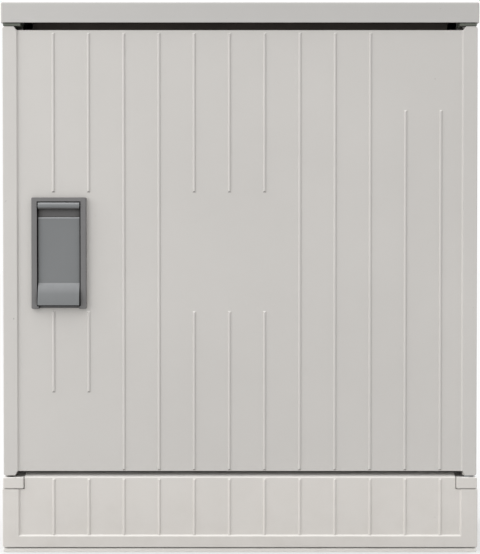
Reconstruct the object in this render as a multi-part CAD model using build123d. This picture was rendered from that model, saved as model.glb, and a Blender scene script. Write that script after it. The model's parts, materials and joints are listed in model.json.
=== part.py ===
from build123d import *
from math import asin, cos, hypot, radians, sin
import os

# Outdoor cable distribution board: a moulded polyester cabinet with a ribbed door, a roof cap and
# a separate lower panel. Inside are busbars, fuse strips with hinged lids and a neutral bar.
# Millimetres. +X is to the right seen from the front, +Y goes back, +Z is up.
# The origin is the middle of the base frame's bolt pattern, on its underside.

# Cabinet outline
ROOF_WIDTH = 785.0
ROOF_DEPTH = 320.0
WALL = 4.0
FRONT_Y = -ROOF_DEPTH / 2
BACK_Y = ROOF_DEPTH / 2

# Heights, stacked from the ground
BASE_FLANGE = 6.0
BASE_GAP = 1.5
LOWER_PANEL_HEIGHT = 116.5
DOOR_SILL_GAP = 9.5
DOOR_HEIGHT = 726.5
VENT_GAP = 12.0
ROOF_FASCIA = 33.0
PANEL_BOTTOM = BASE_FLANGE + BASE_GAP
PANEL_TOP = PANEL_BOTTOM + LOWER_PANEL_HEIGHT
DOOR_BOTTOM = PANEL_TOP + DOOR_SILL_GAP
DOOR_TOP = DOOR_BOTTOM + DOOR_HEIGHT
ROOF_BOTTOM = DOOR_TOP + VENT_GAP
ROOF_TOP = ROOF_BOTTOM + ROOF_FASCIA

# Roof cap
ROOF_WALL = 3.0
ROOF_FIT = 0.5
ROOF_FALL = 6.0
ROOF_AIR = 8.0
ROOF_EDGE_RADIUS = 2.5
ROOF_LIP_DROP = 14.0
ROOF_LIP_INSET = 40.0
WALL_TOP = ROOF_TOP - ROOF_FALL - ROOF_WALL - ROOF_AIR

# Side and rear walls stand just inside the roof cap
SIDE_X = ROOF_WIDTH / 2 - ROOF_WALL - ROOF_FIT
SIDE_IN_X = SIDE_X - WALL
REAR_Y = BACK_Y - ROOF_WALL - ROOF_FIT
REAR_IN_Y = REAR_Y - WALL
REAR_FLANGE = 24.0

# Vertical ribs of the outer faces
RIB_WIDTH = 5.0
RIB_HEIGHT = 1.8
RIB_ROOT = 0.5
RIB_END_RUN = 2.5
RIB_PITCH = 58.0
RIB_FIRST_INSET = 83.0
RIB_LAST_INSET = 40.0
RIB_GAP_LOW = 1.0
RIB_GAP_TOP = 4.0
SIDE_RIB_INSET = 40.0

# Plain fields of the door: around the handle, in the middle, at the foot and at the head
PLAIN_MARGIN_TOP = 8.5
PLAIN_MARGIN_LOW = 4.0
PLAIN_FOOT = 129.0
PLAIN_HEAD = 127.0
HANDLE_COLUMNS = (0, 1)
SIGN_COLUMNS = (4, 5, 6)

# Door moulding
DOOR_SIDE_SET = 2.0
DOOR_WIDTH = ROOF_WIDTH - 2 * DOOR_SIDE_SET
DOOR_SET_BACK = 3.0
DOOR_DEPTH = 30.0
DOOR_SIDE_WALL = 12.0
DOOR_REAR_RADIUS = 8.0
DOOR_EDGE_RADIUS = 1.5
STILE_WIDTH = 23.0
STILE_PROUD = 3.0
STILE_BEVEL = 2.5
STILE_DROP = 7.5
STILE_RISE = 6.0
STILE_SLOPE = 4.0
STILE_CORNER_RADIUS = 4.0
STILE_Y = FRONT_Y + DOOR_SET_BACK
FIELD_Y = STILE_Y + STILE_PROUD
FIELD_IN_Y = FIELD_Y + WALL
DOOR_BACK_Y = STILE_Y + DOOR_DEPTH
STILE_BOTTOM = DOOR_BOTTOM - STILE_DROP
STILE_TOP = DOOR_TOP + STILE_RISE
STIFFENER_HEIGHT = 10.0
STIFFENER_COUNT = 3
STIFFENER_DROP = 92.0
STIFFENER_PITCH = 185.0

# Door hinge on the right, and the room that the swinging stile needs
HINGE_INSET = 12.5
HINGE_X = DOOR_WIDTH / 2 - HINGE_INSET
HINGE_Y = STILE_Y + HINGE_INSET
HINGE_PIN_R = 4.0
HINGE_FIT = 0.05
HINGE_ENTRY = 24.0
HINGE_BOSS_R = 10.0
SWING_CLEARANCE = 1.0
REAR_SWING_R = DOOR_REAR_RADIUS + hypot(HINGE_INSET - DOOR_REAR_RADIUS,
                                        DOOR_DEPTH - HINGE_INSET - DOOR_REAR_RADIUS)
SWING_ROOM = max(REAR_SWING_R, hypot(HINGE_INSET, HINGE_INSET)) + SWING_CLEARANCE
JAMB_Y = HINGE_Y + SWING_ROOM
JAMB_IN_Y = JAMB_Y + WALL

# Door seal, and the clear opening inside it
SEAL_WIDTH = 10.0
SEAL_THICKNESS = 8.0
SEAL_EDGE = 22.0
SEAL_SILL = 30.0
SEAL_GAP = 0.3
SEAL_X = HINGE_X - SWING_ROOM
SEAL_TOP = DOOR_TOP - SEAL_EDGE
SEAL_BOTTOM = PANEL_TOP + SEAL_SILL
OPENING_X = SEAL_X - SEAL_WIDTH
OPENING_TOP = SEAL_TOP - SEAL_WIDTH
OPENING_BOTTOM = SEAL_BOTTOM + SEAL_WIDTH
MIDDLE_Z = (OPENING_TOP + OPENING_BOTTOM) / 2

# Crossbar over the opening and sill under it
CROSSBAR_DROP = 4.0
CROSSBAR_TOP = DOOR_TOP - CROSSBAR_DROP
BEAM_LIP = 36.0
BEAM_FIT = 0.5
TAB_OVERLAP = 28.0
TAB_MARGIN = 4.0
SHELF_INSET = 12.0
SHELF_TOP = PANEL_TOP - WALL
SILL_BOTTOM = SHELF_TOP - WALL
VENT_STRIP_T = 3.0
VENT_STRIP_INSET = 12.0
VENT_SLOT_W = 3.0
VENT_SLOT_PITCH = 7.0
VENT_SLOT_RISE = 8.0
VENT_END_GAP = 2.0

# Lower panel and the corner blocks in its notches
PANEL_SIDE_SET = 0.5
PANEL_WIDTH = ROOF_WIDTH - 2 * PANEL_SIDE_SET
PANEL_STILE = 26.5
PANEL_RAIL = 18.5
PANEL_TOP_RADIUS = 2.5
PANEL_DEPTH = 30.0
PANEL_FIELD_Y = FRONT_Y + STILE_PROUD
LEDGE_GAP = 2.0
LEDGE_RISE = 6.5
BLOCK_WIDTH = 34.0
BLOCK_HEIGHT = 18.5
BLOCK_SET = 0.5
BLOCK_FIT = 1.0
BLOCK_RADIUS = 2.0
BLOCK_TOP = PANEL_TOP - BLOCK_SET
BLOCK_BOTTOM = BLOCK_TOP - BLOCK_HEIGHT
BLOCK_X = PANEL_WIDTH / 2 - BLOCK_FIT
BLOCK_IN_X = BLOCK_X - BLOCK_WIDTH
BRACKET_WIDTH = 28.0
BRACKET_IN_X = SIDE_X - BRACKET_WIDTH
BRACKET_GAP = 1.0
BRACKET_T = VENT_GAP - STILE_RISE - 2 * BRACKET_GAP
BRACKET_BOTTOM = STILE_TOP + BRACKET_GAP
BRACKET_LEG_T = 4.0
BRACKET_LEG_TOP = WALL_TOP - BRACKET_GAP
PIN_HEAD_R = 7.0
PIN_HEAD_T = 3.0
WASHER_R = 9.0
WASHER_PLAY = 0.2

# Base frame
BASE_SET_IN = 1.5
BASE_EDGE_RADIUS = 2.0
BASE_RIM_X = 57.5
BASE_RIM_Y = 70.0
BASE_OPENING_X = ROOF_WIDTH / 2 - BASE_RIM_X
BASE_OPENING_Y = ROOF_DEPTH / 2 - BASE_RIM_Y
BASE_WEB_HEIGHT = 32.0
BASE_WEB_TOP = BASE_FLANGE + BASE_WEB_HEIGHT
BASE_BOLT_INSET_X = 62.5
BASE_BOLT_INSET_Y = 50.0
BASE_BOLT_X = ROOF_WIDTH - 2 * BASE_BOLT_INSET_X
BASE_BOLT_Y = ROOF_DEPTH - 2 * BASE_BOLT_INSET_Y
BASE_BOLT_HOLE_R = 7.0

# Screws
SCREW_R = 3.0
SCREW_HOLE_R = 3.3
SCREW_HEAD_R = 5.5
SCREW_HEAD_T = 3.5
SCREW_EDGE = 12.0
SCREW_TIP_ROOM = 2.0

# Handle: frame with a tray, and a flap on a pin
HANDLE_INSET = 92.5
HANDLE_RISE = 360.0
HANDLE_WIDTH = 90.0
HANDLE_HEIGHT = 183.0
HANDLE_PROUD = 8.0
HANDLE_RADIUS = 2.0
HANDLE_EDGE_RADIUS = 1.2
HANDLE_SIDE = 9.0
HANDLE_TOP_BORDER = 6.5
HANDLE_FOOT = 4.0
HANDLE_X = -DOOR_WIDTH / 2 + HANDLE_INSET
HANDLE_Z = DOOR_BOTTOM + HANDLE_RISE
HANDLE_TOP = HANDLE_Z + HANDLE_HEIGHT / 2
HANDLE_BOTTOM = HANDLE_Z - HANDLE_HEIGHT / 2
HANDLE_Y = FIELD_Y - HANDLE_PROUD
TRAY_X = HANDLE_WIDTH / 2 - HANDLE_SIDE
TRAY_TOP = HANDLE_TOP - HANDLE_TOP_BORDER
TRAY_BOTTOM = HANDLE_BOTTOM + HANDLE_FOOT
TRAY_WALL = 2.5
TRAY_DEPTH = 24.0
TRAY_FLOOR_Y = HANDLE_Y + TRAY_DEPTH
TRAY_BACK_Y = TRAY_FLOOR_Y + TRAY_WALL
TRAY_FIT = 0.4
FLAP_SIDE_GAP = 2.0
FLAP_BARREL_R = 5.5
FLAP_BARREL_DROP = 7.0
FLAP_BARREL_PROUD = 2.5
FLAP_BARREL_Y = HANDLE_Y - FLAP_BARREL_PROUD + FLAP_BARREL_R
FLAP_BARREL_Z = TRAY_TOP - FLAP_BARREL_DROP
FLAP_T = 4.5
FLAP_SET_BACK = 4.5
FLAP_EDGE_RADIUS = 1.5
FLAP_TOP_DROP = 19.0
FLAP_LIP_HEIGHT = 36.5
FLAP_LIP_REACH = 12.0
FLAP_FOOT_GAP = 2.0
FLAP_NECK_T = 4.0
FLAP_NECK_LAP = 6.0
FLAP_NECK_BITE = 1.0
FLAP_PIN_R = 2.0
FLAP_PIN_SEAT = TRAY_WALL
FLAP_FIT = 0.05
FINGER_NOTCH_SIDE = 3.0

# Lock behind the flap: a plug turns a cam plate that drives two rods
LOCK_Z = HANDLE_Z
BARREL_R = 9.0
BARREL_FLANGE_R = 13.0
BARREL_FLANGE_T = 3.0
BARREL_PROUD = 9.0
BARREL_FIT = 0.1
NUT_R = 15.0
NUT_T = 5.0
PLUG_R = 6.0
PLUG_FIT = 0.05
PLUG_PROUD = 1.0
KEY_SLOT = (2.0, 8.0, 4.0)
SPIGOT_R = 4.0
ROD_WIDTH = 16.0
ROD_T = 5.0
ROD_GAP = 1.5
ROD_FRONT_Y = JAMB_IN_Y + ROD_GAP
ROD_BACK_Y = ROD_FRONT_Y + ROD_T
ROD_END_GAP = 6.0
ROD_TIP_CHAMFER = 3.0
CAM_T = 4.0
CAM_GAP = 1.0
CAM_WIDTH = 16.0
CAM_R = 14.0
CAM_START = 45.0
CAM_PIN_R = 3.0
CAM_PIN_PLAY = 0.6
CAM_PIN_END = 2.0
CAM_BACK_Y = ROD_FRONT_Y - CAM_GAP
CAM_FRONT_Y = CAM_BACK_Y - CAM_T
CAM_PIN_X = CAM_R * cos(radians(CAM_START))
CAM_PIN_Z = CAM_R * sin(radians(CAM_START))
ROD_OFFSET = (CAM_R + CAM_PIN_X) / 2
ROD_EYE = 9.0
GUIDE_WIDTH = 30.0
GUIDE_HEIGHT = 12.0
GUIDE_CAP = 4.0
GUIDE_FIT = 0.3
GUIDE_NEAR = 35.0
GUIDE_FAR = 50.0

# Document pocket on the inside of the door
POCKET_X = 90.0
POCKET_WIDTH = 220.0
POCKET_HEIGHT = 200.0
POCKET_DEPTH = 24.0
POCKET_WALL = 2.5
POCKET_GAP = 10.0

# Mounting rails and busbars
RAIL_WIDTH = 40.0
RAIL_DEPTH = 30.0
RAIL_T = 3.0
RAIL_INSET = 48.0
RAIL_X = OPENING_X - RAIL_INSET
RAIL_Y = REAR_IN_Y - RAIL_DEPTH
RAIL_RISE = 20.0
RAIL_BOTTOM = BASE_WEB_TOP + RAIL_RISE
RAIL_TOP = OPENING_TOP
BUSBAR_HEIGHT = 40.0
BUSBAR_T = 10.0
BUSBAR_OVERHANG = 25.0
BUSBAR_GAP = 22.0
BUSBAR_BACK_Y = RAIL_Y - BUSBAR_GAP
BUSBAR_FRONT_Y = BUSBAR_BACK_Y - BUSBAR_T
SUPPORT_WIDTH = 36.0
SUPPORT_HEIGHT = 56.0
SUPPORT_WAIST = 5.0
PHASE_PITCH = 185.0
PHASES = [MIDDLE_Z + PHASE_PITCH, MIDDLE_Z, MIDDLE_Z - PHASE_PITCH]

# Fuse strips
STRIP_COUNT = 4
STRIP_WIDTH = 92.0
STRIP_PITCH = 104.0
STRIP_LOCK_GAP = 46.0
STRIP_DEPTH = 88.0
STRIP_END = 20.0
STRIP_WALL = 4.0
STRIP_EDGE = 3.0
STRIP_FIRST_X = HANDLE_X + STRIP_LOCK_GAP + STRIP_WIDTH / 2
STRIP_FRONT_Y = BUSBAR_FRONT_Y - STRIP_DEPTH
STRIP_TOP = PHASES[0] + PHASE_PITCH / 2 + STRIP_END
STRIP_BOTTOM = PHASES[-1] - PHASE_PITCH / 2 - STRIP_END
STRIP_XS = [STRIP_FIRST_X + i * STRIP_PITCH for i in range(STRIP_COUNT)]
WELL_DEPTH = 68.0
WELL_TOP = 72.0
WELL_BOTTOM = 85.0
WELL_FLOOR_Y = STRIP_FRONT_Y + WELL_DEPTH

# Hinged lids over the wells
LID_SIDE_GAP = 0.5
LID_WALL = 2.5
LID_PROUD = 14.0
LID_SUNK = 16.0
LID_EDGE = 3.0
LID_AXIS_DROP = 58.0
LID_AXIS_IN = 10.0
LID_BELOW = 8.0
LID_ABOVE = 122.0
LID_X = STRIP_WIDTH / 2 - STRIP_WALL - LID_SIDE_GAP
LID_AXIS_Y = STRIP_FRONT_Y + LID_AXIS_IN
TRUNNION_R = 3.0
TRUNNION_FIT = 0.06
TRUNNION_END_GAP = 0.5
GRIP_WIDTH = 50.0
GRIP_REACH = 12.0
GRIP_HEIGHT = 16.0
GRIP_RISE = 96.0
WINDOW_WIDTH = 34.0
WINDOW_HEIGHT = 30.0
WINDOW_RISE = 52.0
WINDOW_DEPTH = 1.0

# Fuse links and their contacts
BLADE_T = 6.0
BLADE_WIDTH = 26.0
BLADE_LENGTH = 34.0
FUSE_WIDTH = 44.0
FUSE_DEPTH = 40.0
FUSE_HALF = 34.0
FUSE_PLATE_T = 3.0
FUSE_PLATE_RIM = 2.0
FUSE_CHAMFER = 5.0
FUSE_BACK_GAP = 5.0
CONTACT_T = 5.0
CONTACT_BASE = 8.0
CONTACT_HEIGHT = 24.0
CONTACT_Z = 50.0
CONTACT_DEPTH = 32.0
CONTACT_FIT = 0.1

# Cover over the spare place beside the strips
COVER_T = 3.0
COVER_DEPTH = 20.0
COVER_GAP = 8.0
COVER_LEFT = STRIP_XS[-1] + STRIP_WIDTH / 2 + COVER_GAP
COVER_RIGHT = RAIL_X - COVER_GAP

# Neutral bar and cable fixing rail
NEUTRAL_DROP = 36.0
NEUTRAL_HEIGHT = 30.0
NEUTRAL_T = 10.0
NEUTRAL_STANDOFF = 44.0
NEUTRAL_SUPPORT_R = 15.0
NEUTRAL_SUPPORT_NECK = 11.0
NEUTRAL_BOLTS = 6
NEUTRAL_BOLT_PITCH = 80.0
NEUTRAL_BOLT_R = 5.0
NEUTRAL_HEAD_R = 9.0
NEUTRAL_HEAD_T = 7.0
NEUTRAL_Z = STRIP_BOTTOM - NEUTRAL_DROP
NEUTRAL_BACK_Y = RAIL_Y - NEUTRAL_STANDOFF
NEUTRAL_FRONT_Y = NEUTRAL_BACK_Y - NEUTRAL_T
CABLE_RAIL_HEIGHT = 34.0
CABLE_RAIL_DEPTH = 20.0
CABLE_RAIL_T = 2.5
CABLE_RAIL_LIP = 9.0
CABLE_RAIL_RISE = 50.0
CABLE_RAIL_Z = BASE_WEB_TOP + CABLE_RAIL_RISE


def front_view(y):
    return Plane(origin=(0, y, 0), x_dir=(1, 0, 0), z_dir=(0, -1, 0))


def side_view(x):
    return Plane(origin=(x, 0, 0), x_dir=(0, 1, 0), z_dir=(1, 0, 0))


def outline(points):
    return make_face(Polyline(*points, close=True))


def backward(y0, y1, shape):
    """Push a front-view outline back from y0 to y1."""
    return extrude(front_view(y0) * shape, amount=y0 - y1)


def across(x0, x1, shape):
    """Push a side-view outline to the right from x0 to x1."""
    return extrude(side_view(x0) * shape, amount=x1 - x0)


def upright(z0, z1, shape):
    """Push a plan outline up from z0 to z1."""
    return extrude(Plane.XY.offset(z0) * shape, amount=z1 - z0)


def span(x0, x1, v0, v1):
    """Rectangle between two pairs of limits."""
    return Pos((x0 + x1) / 2, (v0 + v1) / 2) * Rectangle(x1 - x0, v1 - v0)


def mirrored(shape):
    return mirror(shape, about=Plane.YZ)


def both_sides(shape):
    return shape + mirrored(shape)


def rib(z0, z1):
    """One rounded rib that stands on the plane y = 0 and faces -Y, with sloped ends."""
    half = RIB_WIDTH / 2
    crown = ThreePointArc((-half, 0), (0, -RIB_HEIGHT), (half, 0))
    root = Polyline((half, 0), (half, RIB_ROOT), (-half, RIB_ROOT), (-half, 0))
    length = outline([(RIB_ROOT, z0), (RIB_ROOT, z1), (0, z1), (-RIB_HEIGHT, z1 - RIB_END_RUN),
                      (-RIB_HEIGHT, z0 + RIB_END_RUN), (0, z0)])
    return upright(z0, z1, make_face([crown, root])) & across(-half, half, length)


def wall_rib():
    """Rib of the side and rear walls, as long as the front's ribs together."""
    return rib(PANEL_BOTTOM + PANEL_RAIL, DOOR_TOP - RIB_GAP_TOP)


def rib_places(half_width):
    """X of each rib that fits between the insets of a face."""
    first = -half_width + RIB_FIRST_INSET
    count = int((half_width - RIB_LAST_INSET - first) / RIB_PITCH) + 1
    return [first + i * RIB_PITCH for i in range(count)]


def door_rib_runs(column, count):
    """Height ranges of one door rib, which stops at the handle and at the plain fields."""
    low = DOOR_BOTTOM + RIB_GAP_LOW
    high = DOOR_TOP - RIB_GAP_TOP
    field_low = HANDLE_BOTTOM - PLAIN_MARGIN_LOW
    field_high = HANDLE_TOP + PLAIN_MARGIN_TOP
    if column in HANDLE_COLUMNS:
        return [(low + PLAIN_FOOT, field_low), (field_high, high)]
    if column in SIGN_COLUMNS:
        return [(low, field_low), (field_high, high)]
    if column >= count - len(HANDLE_COLUMNS):
        return [(low, high - PLAIN_HEAD)]
    return [(low, high)]


def screw_along(length):
    """Hexagon screw with its head seat at the origin and its shank down -Z."""
    head = extrude(RegularPolygon(SCREW_HEAD_R, 6), amount=SCREW_HEAD_T)
    shank = extrude(Circle(SCREW_R), amount=-length)
    return head + shank


def drilled(shape, spots, depth):
    for spot in spots:
        shape = shape - spot * Pos(0, 0, 1) * extrude(Circle(SCREW_HOLE_R), amount=-depth - 1)
    return shape


def rear_screw_spots():
    """Rear wall screws into the side wall flanges and the mounting rails."""
    flange_x = SIDE_X - REAR_FLANGE / 2
    spots = []
    for x in (-flange_x, flange_x):
        for z in (BASE_WEB_TOP + SCREW_EDGE, MIDDLE_Z, OPENING_TOP):
            spots.append(Pos(x, REAR_Y, z) * Rot(-90, 0, 0))
    return spots


def beam_screw_spots():
    """Screws from behind through the end tabs of the crossbar and the sill into the jambs."""
    x = OPENING_X + TAB_OVERLAP / 2
    heights = ((CROSSBAR_TOP + OPENING_TOP) / 2, (SHELF_TOP + OPENING_BOTTOM) / 2)
    return [Pos(sx * x, JAMB_IN_Y + WALL, z) * Rot(-90, 0, 0) for sx in (-1, 1) for z in heights]


def roof_screw_spots():
    """Screws from inside through the roof lips into the side walls."""
    z = WALL_TOP - ROOF_LIP_DROP / 2
    ends = (JAMB_IN_Y + ROOF_LIP_INSET + SCREW_EDGE, REAR_IN_Y - ROOF_LIP_INSET - SCREW_EDGE)
    left = [Pos(-SIDE_IN_X + WALL, y, z) * Rot(0, 90, 0) for y in ends]
    right = [Pos(SIDE_IN_X - WALL, y, z) * Rot(0, -90, 0) for y in ends]
    return left + right


def panel_screw_spots():
    """Screws up from inside through the sill shelf into the lower panel's ledge."""
    y = (FRONT_Y + SHELF_INSET + JAMB_Y) / 2
    x = OPENING_X / 2
    return [Pos(sx * x, y, SILL_BOTTOM) * Rot(180, 0, 0) for sx in (-1, 1)]


def base_frame():
    edge_x = PANEL_WIDTH / 2 - BASE_SET_IN
    plate = span(-edge_x, edge_x, FRONT_Y + BASE_SET_IN, REAR_Y)
    opening = RectangleRounded(2 * BASE_OPENING_X, 2 * BASE_OPENING_Y, BASE_FLANGE)
    holes = GridLocations(BASE_BOLT_X, BASE_BOLT_Y, 2, 2) * Circle(BASE_BOLT_HOLE_R)
    flange = upright(0, BASE_FLANGE, plate - opening - holes)
    front_edge = flange.edges().filter_by(Axis.X).group_by(Axis.Y)[0].sort_by(Axis.Z)[-1]
    flange = fillet(front_edge, BASE_EDGE_RADIUS)
    web_out = span(-SIDE_IN_X, SIDE_IN_X, JAMB_IN_Y, REAR_IN_Y - WALL)
    web = upright(BASE_FLANGE, BASE_WEB_TOP, web_out - offset(web_out, -WALL))
    return flange + web


def left_side_wall():
    section = outline([(-SIDE_X, JAMB_Y), (-OPENING_X, JAMB_Y), (-OPENING_X, JAMB_IN_Y),
                       (-SIDE_IN_X, JAMB_IN_Y), (-SIDE_IN_X, REAR_IN_Y - WALL),
                       (-SIDE_X + REAR_FLANGE, REAR_IN_Y - WALL), (-SIDE_X + REAR_FLANGE, REAR_IN_Y),
                       (-SIDE_X, REAR_IN_Y)])
    wall = upright(BASE_FLANGE, WALL_TOP, section)
    wall = wall - upright(CROSSBAR_TOP, WALL_TOP, span(-BRACKET_IN_X, -OPENING_X, JAMB_Y, JAMB_IN_Y))
    free = REAR_IN_Y - JAMB_Y - 2 * SIDE_RIB_INSET
    count = int(free / RIB_PITCH) + 1
    middle = (REAR_IN_Y + JAMB_Y) / 2
    for i in range(count):
        y = middle + (i - (count - 1) / 2) * RIB_PITCH
        wall = wall + Pos(-SIDE_X, y, 0) * Rot(0, 0, -90) * wall_rib()
    spots = rear_screw_spots() + beam_screw_spots() + roof_screw_spots()
    return drilled(wall, spots, 3 * WALL)


def right_side_wall():
    return mirrored(left_side_wall())


def rear_wall():
    wall = upright(BASE_FLANGE, WALL_TOP, span(-SIDE_X, SIDE_X, REAR_IN_Y, REAR_Y))
    for x in rib_places(DOOR_WIDTH / 2):
        wall = wall + Pos(x, REAR_Y, 0) * Rot(0, 0, 180) * wall_rib()
    return drilled(wall, rear_screw_spots(), 2 * WALL)


def roof_block(inset):
    """Sloping block of the roof cap, smaller by inset at the top and on each side."""
    half = ROOF_WIDTH / 2 - inset
    front, back = FRONT_Y + inset, BACK_Y - inset
    front_top, back_top = ROOF_TOP - inset, ROOF_TOP - ROOF_FALL - inset
    section = outline([(front, ROOF_BOTTOM), (front, front_top), (back, back_top), (back, ROOF_BOTTOM)])
    return across(-half, half, section)


def roof():
    skin = roof_block(0)
    outer_edges = skin.edges().filter_by(Axis.Z) + skin.faces().sort_by(Axis.Z)[-1].edges()
    skin = fillet(outer_edges, ROOF_EDGE_RADIUS)
    lip_ends = (JAMB_IN_Y + ROOF_LIP_INSET, REAR_IN_Y - ROOF_LIP_INSET)
    seat = across(SIDE_IN_X, SIDE_X + ROOF_FIT, roof_web(JAMB_Y, REAR_IN_Y, WALL_TOP))
    lip = across(SIDE_IN_X - WALL, SIDE_IN_X, roof_web(*lip_ends, WALL_TOP - ROOF_LIP_DROP))
    cap = skin - roof_block(ROOF_WALL) + both_sides(seat + lip)
    return drilled(cap, roof_screw_spots(), WALL)


def roof_web(y0, y1, low):
    """Side view of a web that hangs from the sloping roof skin."""
    def skin(y):
        return ROOF_TOP - ROOF_WALL / 2 - ROOF_FALL * (y - FRONT_Y) / ROOF_DEPTH
    return outline([(y0, low), (y1, low), (y1, skin(y1)), (y0, skin(y0))])


def beam(profile, tab_low, tab_high):
    """A member between the jambs, with end tabs behind them."""
    length = OPENING_X - BEAM_FIT
    tab_face = span(OPENING_X - TAB_OVERLAP, OPENING_X + TAB_OVERLAP, tab_low, tab_high)
    tab = backward(JAMB_IN_Y, JAMB_IN_Y + WALL, tab_face)
    return drilled(across(-length, length, profile) + both_sides(tab), beam_screw_spots(), 3 * WALL)


def top_crossbar():
    profile = outline([(JAMB_Y, OPENING_TOP), (JAMB_Y, CROSSBAR_TOP), (JAMB_Y + BEAM_LIP, CROSSBAR_TOP),
                       (JAMB_Y + BEAM_LIP, CROSSBAR_TOP - WALL), (JAMB_IN_Y, CROSSBAR_TOP - WALL),
                       (JAMB_IN_Y, OPENING_TOP)])
    return beam(profile, OPENING_TOP + TAB_MARGIN, CROSSBAR_TOP - TAB_MARGIN)


def sill():
    shelf_y = FRONT_Y + SHELF_INSET
    profile = outline([(JAMB_Y, OPENING_BOTTOM), (JAMB_IN_Y, OPENING_BOTTOM), (JAMB_IN_Y, SHELF_TOP),
                       (JAMB_Y + BEAM_LIP, SHELF_TOP), (JAMB_Y + BEAM_LIP, SILL_BOTTOM),
                       (shelf_y, SILL_BOTTOM), (shelf_y, SHELF_TOP), (JAMB_Y, SHELF_TOP)])
    sill_beam = beam(profile, SHELF_TOP + TAB_MARGIN, OPENING_BOTTOM - TAB_MARGIN)
    return drilled(sill_beam, panel_screw_spots(), 3 * WALL)


def vent_strip():
    """Guard that stands on the crossbar behind the gap under the roof, with slots in its upper edge."""
    half = OPENING_X - VENT_END_GAP
    top = WALL_TOP - ROOF_FIT
    y = JAMB_Y + VENT_STRIP_INSET
    plate = span(-half, half, CROSSBAR_TOP, top)
    count = int((2 * half - VENT_SLOT_PITCH) / VENT_SLOT_PITCH)
    slot = span(-VENT_SLOT_W / 2, VENT_SLOT_W / 2, ROOF_BOTTOM + VENT_SLOT_RISE, top)
    slots = GridLocations(VENT_SLOT_PITCH, 1, count, 1) * slot
    return backward(y, y + VENT_STRIP_T, plate - slots)


def lower_panel():
    half = PANEL_WIDTH / 2
    notch_x = BLOCK_IN_X - BLOCK_FIT
    notch_z = BLOCK_BOTTOM - BLOCK_FIT
    shape = outline([(-half, PANEL_BOTTOM), (half, PANEL_BOTTOM), (half, notch_z), (notch_x, notch_z),
                     (notch_x, PANEL_TOP), (-notch_x, PANEL_TOP), (-notch_x, notch_z), (-half, notch_z)])
    low_corners = shape.vertices().sort_by(Axis.Y)[:2]
    back = FRONT_Y + PANEL_DEPTH
    panel = backward(FRONT_Y, back, fillet(low_corners, STILE_CORNER_RADIUS))
    front_corners = panel.edges().filter_by(Axis.Z).group_by(Axis.Y)[0].sort_by(Axis.X)
    panel = fillet([front_corners[0], front_corners[-1]], DOOR_EDGE_RADIUS)
    field = span(-half + PANEL_STILE, half - PANEL_STILE, PANEL_BOTTOM + PANEL_RAIL, PANEL_TOP + PANEL_RAIL)
    panel = panel - bevelled_recess(FRONT_Y, field)
    top_edge = panel.edges().filter_by(Axis.X).group_by(Axis.Z)[-1].sort_by(Axis.Y)[0]
    panel = fillet(top_edge, PANEL_TOP_RADIUS)
    panel = panel - backward(PANEL_FIELD_Y + WALL, back, offset(shape, -WALL, kind=Kind.INTERSECTION))
    panel = panel + sloping_ledge(notch_x)
    panel_rib = rib(PANEL_BOTTOM + PANEL_RAIL, PANEL_TOP - PANEL_TOP_RADIUS)
    for x in rib_places(DOOR_WIDTH / 2):
        panel = panel + Pos(x, PANEL_FIELD_Y, 0) * panel_rib
    return drilled(panel, panel_screw_spots(), 2 * WALL + SCREW_TIP_ROOM)


def sloping_ledge(half):
    """Top of the lower panel, which sheds rain to the front."""
    front, back = PANEL_FIELD_Y + PANEL_TOP_RADIUS, JAMB_Y - LEDGE_GAP
    profile = outline([(front, PANEL_TOP), (back, PANEL_TOP + LEDGE_RISE), (back, PANEL_TOP - WALL),
                       (front, PANEL_TOP - WALL)])
    return across(-half, half, profile)


def bevelled_recess(y, field):
    """Cut for a sunk field, whose sides slope inwards."""
    deep = offset(field, -STILE_BEVEL, kind=Kind.INTERSECTION)
    return loft([front_view(y) * field, front_view(y + STILE_PROUD) * deep])


def lower_block():
    """Left corner block under the door stile; the right one carries the lower pin."""
    shape = fillet(span(-BLOCK_X, -BLOCK_IN_X, BLOCK_BOTTOM, BLOCK_TOP).vertices(), BLOCK_RADIUS)
    body = backward(FRONT_Y, JAMB_Y, shape)
    body = chamfer(body.faces().sort_by(Axis.Y)[0].edges(), BLOCK_RADIUS / 2)
    hole = upright(BLOCK_BOTTOM + WALL, BLOCK_TOP, Pos(-HINGE_X, HINGE_Y) * Circle(HINGE_PIN_R + HINGE_FIT))
    return body - hole


def upper_bracket():
    """Left angle bracket over the door stile; the right one carries the upper pin."""
    leg_y = JAMB_Y - BRACKET_LEG_T
    profile = outline([(STILE_Y, BRACKET_BOTTOM), (JAMB_Y, BRACKET_BOTTOM), (JAMB_Y, BRACKET_LEG_TOP),
                       (leg_y, BRACKET_LEG_TOP), (leg_y, BRACKET_BOTTOM + BRACKET_T),
                       (STILE_Y, BRACKET_BOTTOM + BRACKET_T)])
    body = across(-SIDE_X, -BRACKET_IN_X, profile)
    hole = upright(BRACKET_BOTTOM, BRACKET_BOTTOM + BRACKET_T,
                   Pos(-HINGE_X, HINGE_Y) * Circle(HINGE_PIN_R + HINGE_FIT))
    return body - hole


def upper_hinge_pin():
    seat = BRACKET_BOTTOM + BRACKET_T
    axis = Pos(HINGE_X, HINGE_Y)
    shank = upright(STILE_TOP - HINGE_ENTRY + HINGE_PIN_R, seat, axis * Circle(HINGE_PIN_R))
    return shank + upright(seat, seat + PIN_HEAD_T, axis * Circle(PIN_HEAD_R))


def lower_hinge_pin():
    pin = Pos(HINGE_X, HINGE_Y) * Circle(HINGE_PIN_R)
    return upright(BLOCK_BOTTOM + WALL, STILE_BOTTOM + HINGE_ENTRY - HINGE_PIN_R, pin)


def hinge_washer():
    ring = Circle(WASHER_R) - Circle(HINGE_PIN_R + HINGE_FIT)
    return upright(BLOCK_TOP, STILE_BOTTOM - WASHER_PLAY, Pos(HINGE_X, HINGE_Y) * ring)


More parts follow.
